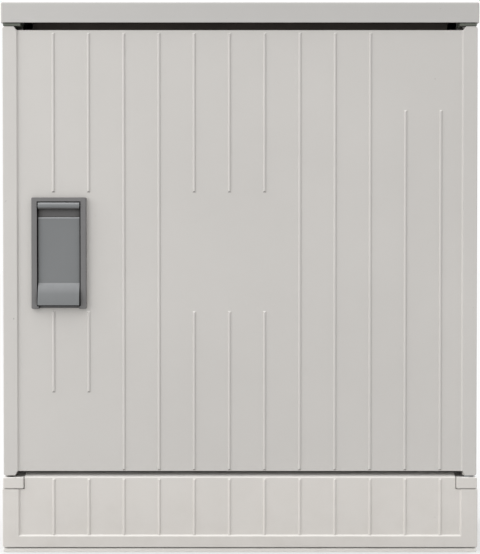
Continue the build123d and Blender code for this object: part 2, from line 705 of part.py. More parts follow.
def door_outline():
    """Front outline, with the stiles reaching past the field."""
    half = DOOR_WIDTH / 2
    inner = half - STILE_WIDTH
    right = [(inner, DOOR_BOTTOM), (inner + STILE_SLOPE, STILE_BOTTOM), (half, STILE_BOTTOM),
             (half, STILE_TOP), (inner + STILE_SLOPE, STILE_TOP), (inner, DOOR_TOP)]
    left = [(-x, z) for x, z in reversed(right)]
    return outline(right + left)


def rounded_ends(shape):
    """The outline with the outer corners of its stiles rounded."""
    by_side = shape.vertices().group_by(Axis.X)
    return fillet(by_side[0] + by_side[-1], STILE_CORNER_RADIUS)


def seal_ring(inset, width):
    """Frame between the seal's outer edge moved in by inset and a smaller rectangle."""
    outer = span(-SEAL_X + inset, SEAL_X - inset, SEAL_BOTTOM + inset, SEAL_TOP - inset)
    inner_in = inset + width
    return outer - span(-SEAL_X + inner_in, SEAL_X - inner_in, SEAL_BOTTOM + inner_in, SEAL_TOP - inner_in)


def stiffener_heights():
    """Undersides of the cross ribs inside the door, over the document pocket."""
    return [MIDDLE_Z - STIFFENER_DROP + i * STIFFENER_PITCH for i in range(STIFFENER_COUNT)]


def door_shell():
    half = DOOR_WIDTH / 2
    shell = backward(STILE_Y, DOOR_BACK_Y, door_outline())
    upright_edges = shell.edges().filter_by(Axis.Z).group_by(Axis.X)
    rear_edges = [side.sort_by(Axis.Y)[-1] for side in (upright_edges[0], upright_edges[-1])]
    shell = fillet(rear_edges, DOOR_REAR_RADIUS)
    shell = shell & backward(STILE_Y, DOOR_BACK_Y, rounded_ends(door_outline()))
    shell = fillet(shell.faces().sort_by(Axis.Y)[0].edges(), DOOR_EDGE_RADIUS)
    inner = half - STILE_WIDTH
    field = span(-inner, inner, DOOR_BOTTOM - STILE_WIDTH, DOOR_TOP + STILE_WIDTH)
    shell = shell - bevelled_recess(STILE_Y, field)
    hollow_x = half - DOOR_SIDE_WALL
    hollow = span(-hollow_x, hollow_x, DOOR_BOTTOM + WALL, DOOR_TOP - WALL)
    return shell - backward(FIELD_IN_Y, DOOR_BACK_Y, hollow)


def door():
    leaf = door_shell()
    places = rib_places(DOOR_WIDTH / 2)
    for column, x in enumerate(places):
        for z0, z1 in door_rib_runs(column, len(places)):
            leaf = leaf + Pos(x, FIELD_Y, 0) * rib(z0, z1)
    leaf = leaf + backward(FIELD_IN_Y, JAMB_Y - SEAL_THICKNESS - SEAL_GAP,
                           seal_ring((SEAL_WIDTH - WALL) / 2, WALL))
    for z in stiffener_heights():
        leaf = leaf + backward(FIELD_IN_Y, FIELD_IN_Y + STIFFENER_HEIGHT,
                               span(HANDLE_X + STRIP_LOCK_GAP, SEAL_X - SEAL_WIDTH / 2, z, z + WALL))
    boss = Pos(HINGE_X, HINGE_Y) * Circle(HINGE_BOSS_R)
    bore = Pos(HINGE_X, HINGE_Y) * Circle(HINGE_PIN_R + HINGE_FIT)
    for z0, z1 in ((STILE_BOTTOM, STILE_BOTTOM + HINGE_ENTRY), (STILE_TOP - HINGE_ENTRY, STILE_TOP)):
        leaf = leaf + upright(z0, z1, boss) - upright(z0, z1, bore)
    return leaf - backward(STILE_Y, DOOR_BACK_Y, tray_outline(TRAY_WALL + TRAY_FIT))


def door_seal():
    return backward(JAMB_Y - SEAL_THICKNESS, JAMB_Y, seal_ring(0, SEAL_WIDTH))


def tray_outline(grow):
    return span(HANDLE_X - TRAY_X - grow, HANDLE_X + TRAY_X + grow, TRAY_BOTTOM - grow, TRAY_TOP + grow)


def handle_frame():
    rim = Pos(HANDLE_X, HANDLE_Z) * RectangleRounded(HANDLE_WIDTH, HANDLE_HEIGHT, HANDLE_RADIUS)
    frame = backward(HANDLE_Y, FIELD_Y, rim)
    frame = fillet(frame.faces().sort_by(Axis.Y)[0].edges(), HANDLE_EDGE_RADIUS)
    frame = frame + backward(FIELD_Y, TRAY_BACK_Y, tray_outline(TRAY_WALL))
    frame = frame - backward(HANDLE_Y, TRAY_FLOOR_Y, tray_outline(0))
    notch_x = TRAY_X - FINGER_NOTCH_SIDE
    notch = span(HANDLE_X - notch_x, HANDLE_X + notch_x, HANDLE_BOTTOM, TRAY_BOTTOM)
    frame = frame - backward(HANDLE_Y, FIELD_Y, notch)
    seat_x = TRAY_X + FLAP_PIN_SEAT
    frame = frame - across(HANDLE_X - seat_x, HANDLE_X + seat_x, flap_axis(Circle(FLAP_PIN_R)))
    return frame - backward(TRAY_FLOOR_Y, TRAY_BACK_Y, lock_axis(Circle(BARREL_R + BARREL_FIT)))


def flap_axis(shape):
    return Pos(FLAP_BARREL_Y, FLAP_BARREL_Z) * shape


def lip_arc(top_y, top_z):
    """Arc that curves forward and down from a point of the flap, and is upright at its foot."""
    radius = (FLAP_LIP_HEIGHT ** 2 + FLAP_LIP_REACH ** 2) / (2 * FLAP_LIP_REACH)
    half_turn = asin(FLAP_LIP_HEIGHT / radius) / 2
    foot_y, foot_z = top_y - FLAP_LIP_REACH, top_z - FLAP_LIP_HEIGHT
    middle = (foot_y + radius * (1 - cos(half_turn)), foot_z + radius * sin(half_turn))
    return ThreePointArc((top_y, top_z), middle, (foot_y, foot_z))


def handle_flap():
    """Lift-up flap: hinge barrel, set-back neck, flat plate and a lip that curves out at the foot."""
    front = HANDLE_Y + FLAP_SET_BACK
    back = front + FLAP_T
    top = TRAY_TOP - FLAP_TOP_DROP - FLAP_BARREL_DROP
    outside = lip_arc(front, TRAY_BOTTOM + FLAP_FOOT_GAP + FLAP_LIP_HEIGHT)
    inside = lip_arc(back, TRAY_BOTTOM + FLAP_FOOT_GAP + FLAP_LIP_HEIGHT)
    upper = Polyline(outside @ 0, (front, top), (back, top), inside @ 0)
    plate = make_face([outside, upper, inside, Line(inside @ 1, outside @ 1)])
    top_corner = plate.vertices().sort_by_distance((front, top))[0]
    plate = fillet(top_corner, FLAP_EDGE_RADIUS)
    neck_front = FLAP_BARREL_Y + FLAP_BARREL_R - FLAP_NECK_BITE
    neck = span(neck_front, back + FLAP_NECK_T, top - FLAP_NECK_LAP, FLAP_BARREL_Z)
    half = TRAY_X - FLAP_SIDE_GAP
    body = across(HANDLE_X - half, HANDLE_X + half, plate + neck + flap_axis(Circle(FLAP_BARREL_R)))
    return body - across(HANDLE_X - half, HANDLE_X + half, flap_axis(Circle(FLAP_PIN_R + FLAP_FIT)))


def flap_pin():
    end = TRAY_X + FLAP_PIN_SEAT
    return across(HANDLE_X - end, HANDLE_X + end, flap_axis(Circle(FLAP_PIN_R)))


def lock_axis(shape):
    return Pos(HANDLE_X, LOCK_Z) * shape


def lock_barrel():
    front = TRAY_FLOOR_Y - BARREL_PROUD
    neck_end = TRAY_BACK_Y + NUT_T
    body = backward(front, neck_end, lock_axis(Circle(BARREL_R)))
    body = body + backward(TRAY_FLOOR_Y - BARREL_FLANGE_T, TRAY_FLOOR_Y, lock_axis(Circle(BARREL_FLANGE_R)))
    return body - backward(front, neck_end, lock_axis(Circle(PLUG_R + PLUG_FIT)))


def lock_nut():
    ring = lock_axis(RegularPolygon(NUT_R, 6) - Circle(BARREL_R + BARREL_FIT))
    return backward(TRAY_BACK_Y, TRAY_BACK_Y + NUT_T, ring)


def lock_plug():
    front = TRAY_FLOOR_Y - BARREL_PROUD - PLUG_PROUD
    slot_w, slot_h, slot_d = KEY_SLOT
    plug = backward(front, CAM_FRONT_Y, lock_axis(Circle(PLUG_R)))
    plug = plug + backward(CAM_FRONT_Y, CAM_BACK_Y, lock_axis(Circle(SPIGOT_R)))
    return plug - backward(front, front + slot_d, lock_axis(Rectangle(slot_w, slot_h)))


def cam_plate():
    """Two-armed plate on the plug; its pins drive the rods, and start a half turn apart."""
    arms = lock_axis(Rot(0, 0, -CAM_START) * SlotCenterToCenter(2 * CAM_R, CAM_WIDTH))
    plate = backward(CAM_FRONT_Y, CAM_BACK_Y, arms - lock_axis(Circle(SPIGOT_R + PLUG_FIT)))
    for side in (-1, 1):
        pin = lock_axis(Pos(side * CAM_PIN_X, -side * CAM_PIN_Z) * Circle(CAM_PIN_R))
        plate = plate + backward(CAM_BACK_Y, ROD_BACK_Y + CAM_PIN_END, pin)
    return plate


def rod(side, eye_z, tip_z):
    """Flat locking rod with a cross slot for its cam pin and a chamfered tip."""
    low, high = min(eye_z, tip_z), max(eye_z, tip_z)
    x = HANDLE_X + side * ROD_OFFSET
    bar = backward(ROD_FRONT_Y, ROD_BACK_Y, span(x - ROD_WIDTH / 2, x + ROD_WIDTH / 2, low, high))
    tip = bar.faces().sort_by(Axis.Z)[-1 if tip_z > eye_z else 0]
    bar = chamfer(tip.edges().filter_by(Axis.X), ROD_TIP_CHAMFER / 2)
    run = (CAM_R - CAM_PIN_X) / 2
    slot = SlotCenterToCenter(2 * run, 2 * (CAM_PIN_R + CAM_PIN_PLAY))
    return bar - backward(ROD_FRONT_Y, ROD_BACK_Y, Pos(x, LOCK_Z - side * CAM_PIN_Z) * slot)


def upper_rod():
    return rod(1, LOCK_Z - CAM_PIN_Z - ROD_EYE, OPENING_TOP - ROD_END_GAP)


def lower_rod():
    return rod(-1, LOCK_Z + CAM_PIN_Z + ROD_EYE, OPENING_BOTTOM + ROD_END_GAP)


def rod_guides():
    """Four blocks on the inside of the door, each with a slot for its rod."""
    places = [(1, HANDLE_TOP + GUIDE_NEAR), (1, OPENING_TOP - GUIDE_FAR),
              (-1, HANDLE_BOTTOM - GUIDE_NEAR), (-1, OPENING_BOTTOM + GUIDE_FAR)]
    guides = []
    for side, z in places:
        x = HANDLE_X + side * ROD_OFFSET
        body = span(x - GUIDE_WIDTH / 2, x + GUIDE_WIDTH / 2, FIELD_IN_Y, ROD_BACK_Y + GUIDE_CAP)
        slot = span(x - ROD_WIDTH / 2 - GUIDE_FIT, x + ROD_WIDTH / 2 + GUIDE_FIT,
                    ROD_FRONT_Y - GUIDE_FIT, ROD_BACK_Y + GUIDE_FIT)
        guides.append(upright(z - GUIDE_HEIGHT / 2, z + GUIDE_HEIGHT / 2, body - slot))
    return Compound(children=guides)


def document_pocket():
    left = POCKET_X - POCKET_WIDTH / 2
    right = POCKET_X + POCKET_WIDTH / 2
    low = stiffener_heights()[0] - POCKET_GAP - POCKET_HEIGHT
    back = FIELD_IN_Y + POCKET_DEPTH
    shell = backward(FIELD_IN_Y, back, span(left, right, low, low + POCKET_HEIGHT))
    hollow = span(left + POCKET_WALL, right - POCKET_WALL, low + POCKET_WALL, low + POCKET_HEIGHT)
    return shell - backward(FIELD_IN_Y, back - POCKET_WALL, hollow)


def left_rail():
    x0, x1 = -RAIL_X - RAIL_WIDTH / 2, -RAIL_X + RAIL_WIDTH / 2
    section = span(x0, x1, RAIL_Y, REAR_IN_Y) - span(x0 + RAIL_T, x1 - RAIL_T, RAIL_Y + RAIL_T, REAR_IN_Y)
    return upright(RAIL_BOTTOM, RAIL_TOP, section)


def right_rail():
    return mirrored(left_rail())


def busbar(z):
    half = RAIL_X + BUSBAR_OVERHANG
    face = span(-half, half, z - BUSBAR_HEIGHT / 2, z + BUSBAR_HEIGHT / 2)
    return backward(BUSBAR_FRONT_Y, BUSBAR_BACK_Y, face)


def busbar_supports():
    """Waisted insulators between the rails and the busbars."""
    half_w, half_h = SUPPORT_WIDTH / 2, SUPPORT_HEIGHT / 2
    third = BUSBAR_GAP / 3
    section = span(-half_w, half_w, BUSBAR_BACK_Y, RAIL_Y)
    for edge in (-half_w, half_w):
        section -= span(edge - SUPPORT_WAIST, edge + SUPPORT_WAIST, BUSBAR_BACK_Y + third, RAIL_Y - third)
    return Compound(children=[Pos(x, 0, 0) * upright(z - half_h, z + half_h, section)
                              for x in (-RAIL_X, RAIL_X) for z in PHASES])


def fuse_strip(x):
    half = STRIP_WIDTH / 2
    plan = outline([(x - half, BUSBAR_FRONT_Y), (x - half, STRIP_FRONT_Y + STRIP_EDGE),
                    (x - half + STRIP_EDGE, STRIP_FRONT_Y), (x + half - STRIP_EDGE, STRIP_FRONT_Y),
                    (x + half, STRIP_FRONT_Y + STRIP_EDGE), (x + half, BUSBAR_FRONT_Y)])
    body = upright(STRIP_BOTTOM, STRIP_TOP, plan)
    well_x = half - STRIP_WALL
    for z in PHASES:
        well = span(x - well_x, x + well_x, z - WELL_BOTTOM, z + WELL_TOP)
        pivot = Pos(LID_AXIS_Y, z - LID_AXIS_DROP) * Circle(TRUNNION_R + TRUNNION_FIT)
        body = body - backward(STRIP_FRONT_Y, WELL_FLOOR_Y, well) - across(x - half, x + half, pivot)
    return body


def fuse_lid(x, phase_z):
    """Lid that tilts forward on two trunnions near its foot, with a pull lip and a sunk window."""
    z = phase_z - LID_AXIS_DROP
    low, high = z - LID_BELOW, z + LID_ABOVE
    front, back = STRIP_FRONT_Y - LID_PROUD, STRIP_FRONT_Y + LID_SUNK
    shell = backward(front, back, span(x - LID_X, x + LID_X, low, high))
    shell = chamfer(shell.faces().sort_by(Axis.Y)[0].edges(), LID_EDGE)
    hollow = span(x - LID_X + LID_WALL, x + LID_X - LID_WALL, low + LID_WALL, high - LID_WALL)
    shell = shell - backward(front + LID_EDGE + LID_WALL, back, hollow)
    grip_z = z + GRIP_RISE
    grip = outline([(front, grip_z), (front - GRIP_REACH, grip_z + GRIP_HEIGHT / 2),
                    (front - GRIP_REACH, grip_z + GRIP_HEIGHT), (front, grip_z + GRIP_HEIGHT)])
    shell = shell + across(x - GRIP_WIDTH / 2, x + GRIP_WIDTH / 2, grip)
    window = Pos(x, z + WINDOW_RISE) * Rectangle(WINDOW_WIDTH, WINDOW_HEIGHT)
    shell = shell - backward(front, front + WINDOW_DEPTH, window)
    end = STRIP_WIDTH / 2 - TRUNNION_END_GAP
    trunnion = Pos(LID_AXIS_Y, z) * Circle(TRUNNION_R)
    shell = shell + across(x - end, x - LID_X + LID_WALL, trunnion)
    return shell + across(x + LID_X - LID_WALL, x + end, trunnion)


def fuse_link(x, z):
    """Ceramic body between two end plates, with a contact blade at each end."""
    back = WELL_FLOOR_Y - FUSE_BACK_GAP
    front = back - FUSE_DEPTH
    middle = (front + back) / 2
    plan = RectangleRounded(FUSE_WIDTH, FUSE_DEPTH, FUSE_CHAMFER)
    rim = Rectangle(FUSE_WIDTH + 2 * FUSE_PLATE_RIM, FUSE_DEPTH + 2 * FUSE_PLATE_RIM)
    body = upright(z - FUSE_HALF, z + FUSE_HALF, Pos(x, middle) * plan)
    blade = Pos(x, middle) * Rectangle(BLADE_T, BLADE_WIDTH)
    for end in (-1, 1):
        plate_z = sorted((z + end * FUSE_HALF, z + end * (FUSE_HALF - FUSE_PLATE_T)))
        blade_z = sorted((z + end * FUSE_HALF, z + end * (FUSE_HALF + BLADE_LENGTH)))
        body = body + upright(*plate_z, Pos(x, middle) * rim) + upright(*blade_z, blade)
    return body


def fuse_links():
    return Compound(children=[fuse_link(x, z) for x in STRIP_XS for z in PHASES])


def fuse_contacts():
    """Spring forks on the well floors that hold the blades of the fuse links."""
    gap = BLADE_T / 2 + CONTACT_FIT
    outer = gap + CONTACT_T
    front = WELL_FLOOR_Y - CONTACT_DEPTH
    fork = span(-outer, outer, front, WELL_FLOOR_Y) - span(-gap, gap, front, WELL_FLOOR_Y - CONTACT_BASE)
    forks = []
    for x in STRIP_XS:
        for z in PHASES:
            for end in (-CONTACT_Z, CONTACT_Z):
                low = z + end - CONTACT_HEIGHT / 2
                forks.append(Pos(x, 0, 0) * upright(low, low + CONTACT_HEIGHT, fork))
    return Compound(children=forks)


def blank_cover():
    front = BUSBAR_FRONT_Y - COVER_DEPTH
    section = span(COVER_LEFT, COVER_RIGHT, front, BUSBAR_FRONT_Y)
    section = section - span(COVER_LEFT + COVER_T, COVER_RIGHT - COVER_T, front + COVER_T, BUSBAR_FRONT_Y)
    return upright(STRIP_BOTTOM, STRIP_TOP, section)


def neutral_bolt_places():
    first = -(NEUTRAL_BOLTS - 1) / 2 * NEUTRAL_BOLT_PITCH
    return [Pos(first + i * NEUTRAL_BOLT_PITCH, NEUTRAL_Z) for i in range(NEUTRAL_BOLTS)]


def neutral_bar():
    half = RAIL_X + BUSBAR_OVERHANG
    bar = span(-half, half, NEUTRAL_Z - NEUTRAL_HEIGHT / 2, NEUTRAL_Z + NEUTRAL_HEIGHT / 2)
    for place in neutral_bolt_places():
        bar = bar - place * Circle(NEUTRAL_BOLT_R + BARREL_FIT)
    return backward(NEUTRAL_FRONT_Y, NEUTRAL_BACK_Y, bar)


def neutral_bolts():
    bolts = []
    for place in neutral_bolt_places():
        hexagon = place * RegularPolygon(NEUTRAL_HEAD_R, 6)
        head = backward(NEUTRAL_FRONT_Y - NEUTRAL_HEAD_T, NEUTRAL_FRONT_Y, hexagon)
        bolts.append(head + backward(NEUTRAL_FRONT_Y, NEUTRAL_BACK_Y, place * Circle(NEUTRAL_BOLT_R)))
    return Compound(children=bolts)


def neutral_supports():
    """Grooved standoff insulators between the rails and the neutral bar."""
    third = NEUTRAL_STANDOFF / 3
    stacks = []
    for x in (-RAIL_X, RAIL_X):
        centre = Pos(x, NEUTRAL_Z)
        wide = centre * Circle(NEUTRAL_SUPPORT_R)
        neck = backward(NEUTRAL_BACK_Y + third, RAIL_Y - third, centre * Circle(NEUTRAL_SUPPORT_NECK))
        stacks.append(backward(NEUTRAL_BACK_Y, NEUTRAL_BACK_Y + third, wide) + neck
                      + backward(RAIL_Y - third, RAIL_Y, wide))
    return Compound(children=stacks)


def cable_rail():
    """C-shaped rail across the cable space, open to the front, fixed to the mounting rails."""
    front = RAIL_Y - CABLE_RAIL_DEPTH
    low = CABLE_RAIL_Z - CABLE_RAIL_HEIGHT / 2
    high = CABLE_RAIL_Z + CABLE_RAIL_HEIGHT / 2
    outer = span(front, RAIL_Y, low, high)
    hollow = offset(outer, -CABLE_RAIL_T, kind=Kind.INTERSECTION)
    mouth = span(front, front + CABLE_RAIL_T, low + CABLE_RAIL_LIP, high - CABLE_RAIL_LIP)
    return across(-SIDE_IN_X, SIDE_IN_X, outer - hollow - mouth)


def screws(spots):
    return Compound(children=[spot * screw_along(2 * WALL) for spot in spots])


def all_parts():
    parts = {
        "base_frame": base_frame(),
        "left_side_wall": left_side_wall(),
        "right_side_wall": right_side_wall(),
        "rear_wall": rear_wall(),
        "roof": roof(),
        "top_crossbar": top_crossbar(),
        "sill": sill(),
        "vent_strip": vent_strip(),
        "lower_panel": lower_panel(),
        "lower_left_block": lower_block(),
        "lower_right_block": mirrored(lower_block()),
        "upper_left_bracket": upper_bracket(),
        "upper_right_bracket": mirrored(upper_bracket()),
        "upper_hinge_pin": upper_hinge_pin(),
        "lower_hinge_pin": lower_hinge_pin(),
        "hinge_washer": hinge_washer(),
        "door": door(),
        "door_seal": door_seal(),
        "handle_frame": handle_frame(),
        "handle_flap": handle_flap(),
        "flap_pin": flap_pin(),
        "lock_barrel": lock_barrel(),
        "lock_nut": lock_nut(),
        "lock_plug": lock_plug(),
        "cam_plate": cam_plate(),
        "upper_rod": upper_rod(),
        "lower_rod": lower_rod(),
        "rod_guides": rod_guides(),
        "document_pocket": document_pocket(),
        "left_rail": left_rail(),
        "right_rail": right_rail(),
        "busbar_supports": busbar_supports(),
        "fuse_contacts": fuse_contacts(),
        "fuse_links": fuse_links(),
        "blank_cover": blank_cover(),
        "neutral_bar": neutral_bar(),
        "neutral_bolts": neutral_bolts(),
        "neutral_supports": neutral_supports(),
        "cable_rail": cable_rail(),
        "screws": screws(rear_screw_spots() + beam_screw_spots() + roof_screw_spots()),
        "panel_screws": screws(panel_screw_spots()),
    }
    for number, z in enumerate(PHASES, 1):
        parts[f"busbar_l{number}"] = busbar(z)
    for number, x in enumerate(STRIP_XS, 1):
        parts[f"fuse_strip_{number}"] = fuse_strip(x)
        for phase, z in enumerate(PHASES, 1):
            parts[f"fuse_lid_{number}_l{phase}"] = fuse_lid(x, z)
    return parts


os.makedirs("parts", exist_ok=True)
for name, shape in all_parts().items():
    export_step(shape, f"parts/{name}.step")
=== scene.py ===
import json
import math

import bmesh
import bpy
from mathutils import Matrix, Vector


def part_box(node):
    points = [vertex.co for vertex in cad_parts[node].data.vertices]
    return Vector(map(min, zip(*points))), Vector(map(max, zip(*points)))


# Looks of the outdoor distribution board: finishes, floor, light and camera. Metres.
# +X is to the right seen from the front, +Y goes back, +Z is up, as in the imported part.

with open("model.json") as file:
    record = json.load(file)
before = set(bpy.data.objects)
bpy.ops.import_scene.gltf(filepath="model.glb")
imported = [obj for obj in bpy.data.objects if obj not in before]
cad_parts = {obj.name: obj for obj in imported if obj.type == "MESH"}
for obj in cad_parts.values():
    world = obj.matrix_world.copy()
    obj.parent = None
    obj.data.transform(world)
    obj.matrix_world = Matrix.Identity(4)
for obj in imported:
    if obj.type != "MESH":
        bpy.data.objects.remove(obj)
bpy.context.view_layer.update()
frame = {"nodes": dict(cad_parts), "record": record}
nodes = frame["nodes"]
slot_of = {row["node"]: row["material_slot"] for row in frame["record"]["subparts"]}

MM = 0.001
UP = 1
DOWN = -1

# Places where the finish changes within a piece: half height of a fuse's ceramic body, drops below the
# flap's axis where its painted shade and painted highlight start and end, depths behind the door's front
# within which downward faces get painted shade, and height above the ground
FUSE_CERAMIC_HALF = 30.5 * MM
FUSE_ROWS = (1, 2, 3)
FLAP_NECK_DROPS = (3.4 * MM, 19.0 * MM)
FLAP_EDGE_DROPS = (19.0 * MM, 20.6 * MM)
UNDERSIDE_SHADE_DEPTHS = (4.0 * MM, 6.0 * MM)
UNDERSIDE_SHADE_SHARE = 0.9
DUST_HEIGHT = 160 * MM

# Camera: square to the front, and tilted down as little as the picture's narrowing to the foot shows
IMAGE_HEIGHT_PX = 554
FRONT_METRES_PER_PX = 1.6452 * MM
CAMERA_DISTANCE = 2.4
CAMERA_TILT = math.radians(1.11)
AIM_HEIGHT = 0.4543
SENSOR = 36.0

# Light: a cloudy sky that is brightest overhead and brighter to the left and behind than opposite, and a
# wide soft lamp to the left in front
KEY_DIRECTION = Vector((-0.76, -0.50, 0.28))
KEY_DISTANCE = 3.2
KEY_SIZE = 2.5
KEY_POWER = 31.0
SKY_LEVEL = 0.66
SKY_SLOPE = (-0.32, 0.25, 1.20)
SKY_SEEN = 1.0
FLOOR_REACH = 30.0
FLOOR_GAP = 0.2 * MM
FLOOR_GREY = 0.43
FLOOR_GLOW = 0.36
FLOOR_CLOUD = 0.4
FLOOR_SHADES = (0.99, 1.01)
WHITE = (1, 1, 1, 1)

# Patterns: the range that a noise mostly keeps to, the rise at which a face starts to look up or down,
# the turn of a rounded edge, and the rays that look for edges and gaps
NOISE_LOW = 0.3
NOISE_HIGH = 0.7
FACING_RISE = 0.3
EDGE_TURN_NONE = 0.995
EDGE_TURN_FULL = 0.85
EDGE_RAYS = 4
GAP_RAYS = 8

# Standard curve from display colours to scene colours
DISPLAY_STEPS = 255
CURVE_KNEE = 0.04045
CURVE_SLOPE = 12.92
CURVE_OFFSET = 0.055
CURVE_POWER = 2.4

# Colours as they look, in 8-bit steps
CABINET_GREY = (205, 202, 198)
# A darker copy of the cabinet grey: painted shade on the roof
ROOF_SHADED_GREY = (193, 191, 188)
# A paler copy of the cabinet grey: painted light on the lower panel
PANEL_LIT_GREY = (218, 214, 209)
CABINET_DUST = (176, 168, 156)
CABINET_MARK = (120, 112, 104)
# Dark colour of dirt and painted shade in gaps and corners, and of the painted shade under ledges
CABINET_SHADE_AND_GRIME = (40, 32, 26)
# White of the painted highlight on upward faces
TOP_HIGHLIGHT_WHITE = (244, 242, 238)
BASE_GREY = (232, 229, 223)
HANDLE_GREY = (116, 115, 115)
FLAP_GREY = (122, 124, 125)
# Painted highlight on the flap's upward faces, such as the top of its bar
FLAP_TOP_HIGHLIGHT = (182, 183, 185)
# Dark colour of dirt and painted shade in the handle's gaps and recess
HANDLE_SHADE_AND_GRIME = (38, 34, 31)
# Painted shade on the flap's neck and the underside of its bar
NECK_SHADE_GREY = (96, 95, 95)
# Painted highlight along the top edge of the flap's plate
EDGE_HIGHLIGHT_GREY = (184, 186, 188)
BLACK_GREY = (80, 72, 66)
RUBBER_BLACK = (38, 37, 36)
ZINC_GREY = (176, 178, 180)
STEEL_GREY = (196, 197, 198)
# Dark steel of the flap's pin: painted shade for the gap beside the bar
SHADED_PIN_STEEL = (72, 72, 73)
COPPER_RED = (206, 128, 92)
COPPER_BROWN = (142, 80, 56)
STRIP_GREY = (84, 86, 88)
BRACKET_GREY = (104, 108, 99)
LID_GREY = (140, 143, 146)
INSULATOR_RED = (142, 56, 44)
CERAMIC_WHITE = (226, 223, 214)
GUIDE_WHITE = (222, 220, 212)
POCKET_GREY = (178, 178, 174)


def linear(steps, gain=1.0):
    """Scene colour of an 8-bit display colour."""
    channels = [step / DISPLAY_STEPS for step in steps]
    curved = [
        c / CURVE_SLOPE if c <= CURVE_KNEE else ((c + CURVE_OFFSET) / (1 + CURVE_OFFSET)) ** CURVE_POWER
        for c in channels
    ]
    return (*[min(1.0, c * gain) for c in curved], 1.0)


class Finish:
    """A principled material whose patterns are measured in metres of the part."""

    def __init__(self, name, sockets):
        self.material = bpy.data.materials.new(name)
        self.material.use_nodes = True
        self.tree = self.material.node_tree
        self.shader = self.tree.nodes["Principled BSDF"]
        self.place = self.node("ShaderNodeTexCoord").outputs["Object"]
        for socket, value in sockets.items():
            self.set(socket, value)

    def feed(self, socket, value):
        """Links a pattern to a socket, or sets a plain value on it."""
        if isinstance(value, bpy.types.NodeSocket):
            self.tree.links.new(value, socket)
        else:
            socket.default_value = value

    def set(self, socket, value):
        self.feed(self.shader.inputs[socket], value)

    def node(self, kind, inputs=None):
        node = self.tree.nodes.new(kind)
        for name, value in (inputs or {}).items():
            self.feed(node.inputs[name], value)
        return node

    def noise(self, size, detail=3.0, stretch=(1, 1, 1)):
        """Cloudy pattern from 0 to 1 with blobs of about that size, drawn out by the stretch."""
        spread = self.node("ShaderNodeMapping", {"Vector": self.place, "Scale": [1 / s for s in stretch]})
        inputs = {"Vector": spread.outputs["Vector"], "Scale": 1 / size, "Detail": detail}
        return self.node("ShaderNodeTexNoise", inputs).outputs["Fac"]

    def band(self, source, low, high, to_low=0.0, to_high=1.0):
        """A pattern's range from low to high, brought to another range and cut off at its ends."""
        inputs = {"Value": source, "From Min": low, "From Max": high, "To Min": to_low, "To Max": to_high}
        return self.node("ShaderNodeMapRange", inputs).outputs["Result"]

    def clouds(self, size, detail=3.0, low=0.0, high=1.0):
        """Cloudy pattern that wanders between a low and a high value all over the surface."""
        return self.band(self.noise(size, detail), NOISE_LOW, NOISE_HIGH, low, high)

    def patches(self, size, start, full, share, detail=3.0):
        """0 over most of the surface, and up to the share in blobs where the noise passes the start."""
        return self.band(self.noise(size, detail), start, full, 0.0, share)

    def product(self, first, second):
        node = self.node("ShaderNodeMath")
        node.operation = "MULTIPLY"
        for socket, value in zip(node.inputs, (first, second)):
            self.feed(socket, value)
        return node.outputs["Value"]

    def tint(self, share, plain, tinted):
        """Colour that goes from plain to tinted with the share."""
        node = self.node("ShaderNodeMix")
        node.data_type = "RGBA"
        for name, value in (("Factor_Float", share), ("A_Color", plain), ("B_Color", tinted)):
            self.feed(next(s for s in node.inputs if s.identifier == name), value)
        return next(s for s in node.outputs if s.identifier == "Result_Color")

    def along(self, axis):
        """Place along an axis of the part while it is closed."""
        return self.node("ShaderNodeSeparateXYZ", {"Vector": self.place}).outputs[axis]

    def facing(self, way, share=1.0):
        """0 on upright faces, and up to the share on those that look up or down while the part is closed."""
        normal = self.node("ShaderNodeTexCoord").outputs["Normal"]
        rise = self.node("ShaderNodeSeparateXYZ", {"Vector": normal}).outputs["Z"]
        return self.band(rise, FACING_RISE * way, way, 0.0, share)

    def soft_edges(self, radius):
        """Surface direction with the edges rounded off in shading."""
        node = self.node("ShaderNodeBevel", {"Radius": radius})
        node.samples = EDGE_RAYS
        return node.outputs["Normal"]

    def crevices(self, reach, open_share, shut_share):
        """0 where the open share of the sky within reach is seen or more, and 1 deep in gaps and corners."""
        node = self.node("ShaderNodeAmbientOcclusion", {"Distance": reach})
        node.samples = GAP_RAYS
        return self.band(node.outputs["AO"], open_share, shut_share)

    def edges(self, radius):
        """1 along the outer and inner edges of a piece, and 0 on its faces."""
        turn = self.node("ShaderNodeVectorMath")
        turn.operation = "DOT_PRODUCT"
        self.feed(turn.inputs[0], self.soft_edges(radius))
        self.feed(turn.inputs[1], self.node("ShaderNodeNewGeometry").outputs["Normal"])
        return self.band(turn.outputs["Value"], EDGE_TURN_NONE, EDGE_TURN_FULL)

    def bump(self, height, depth, normal=None):
        inputs = {"Height": height, "Distance": depth, "Strength": 1.0}
        if normal is not None:
            inputs["Normal"] = normal
        return self.node("ShaderNodeBump", inputs).outputs["Normal"]


